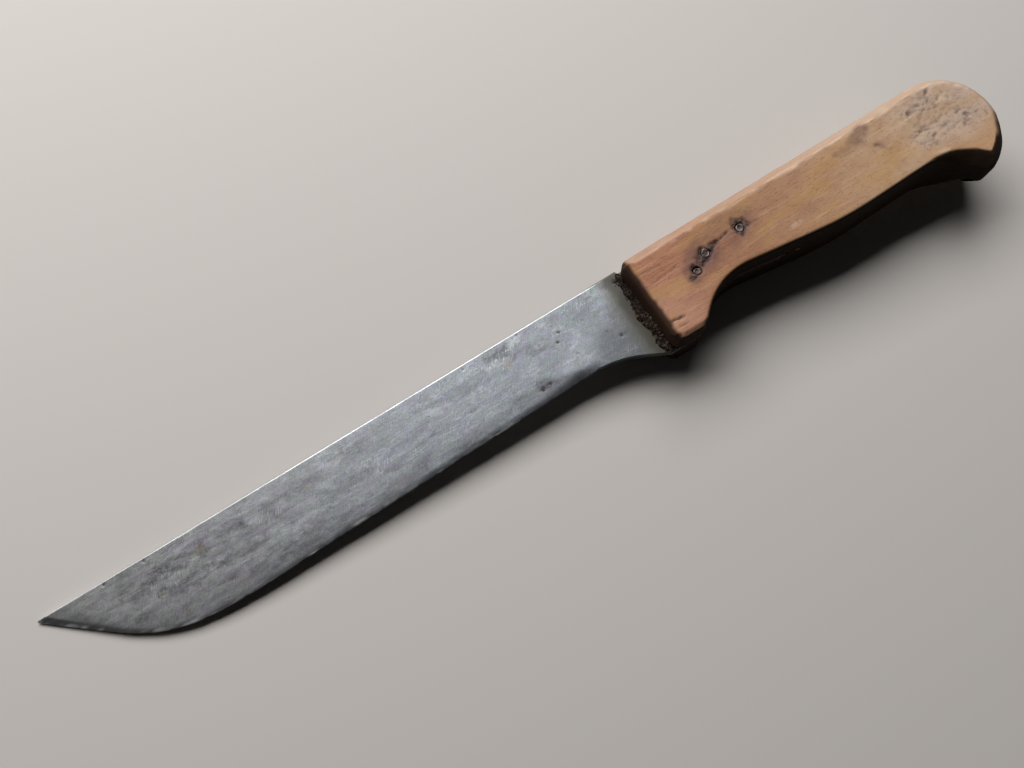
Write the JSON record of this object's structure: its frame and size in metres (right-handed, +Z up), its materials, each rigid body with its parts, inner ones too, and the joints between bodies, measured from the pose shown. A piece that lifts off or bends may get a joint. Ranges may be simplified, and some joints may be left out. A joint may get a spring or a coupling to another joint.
{
  "type": "butcher knife",
  "caption": "Wide-bladed butcher's boning knife: straight spine, upswept point, flared heel, pinned half tang in a one-piece beech handle with finger guard and butt hook.",
  "frame": {"origin": "centre of the bounding box on the surface that the knife lies on", "axes": "+X from the tip to the butt, +Y towards the spine, so the cutting edge faces -Y, +Z up, through the blade's thickness; the knife lies on its side, on its tip and the handle's front lower edge"},
  "size_m": [0.3302, 0.037, 0.0257],
  "materials": {
    "blade_steel": "old ground carbon steel with grey patina",
    "beech": "worn oiled beech, darkened and dented",
    "pin_iron": "peened and rusted iron",
    "pitch": "gritty black pitch and hardened grime"
  },
  "bodies": {
    "root": {"blade": "blade_steel", "handle": "beech", "front_pin": "pin_iron", "middle_pin": "pin_iron", "rear_pin": "pin_iron", "slot_seal": "pitch"}
  },
  "joints": []
}
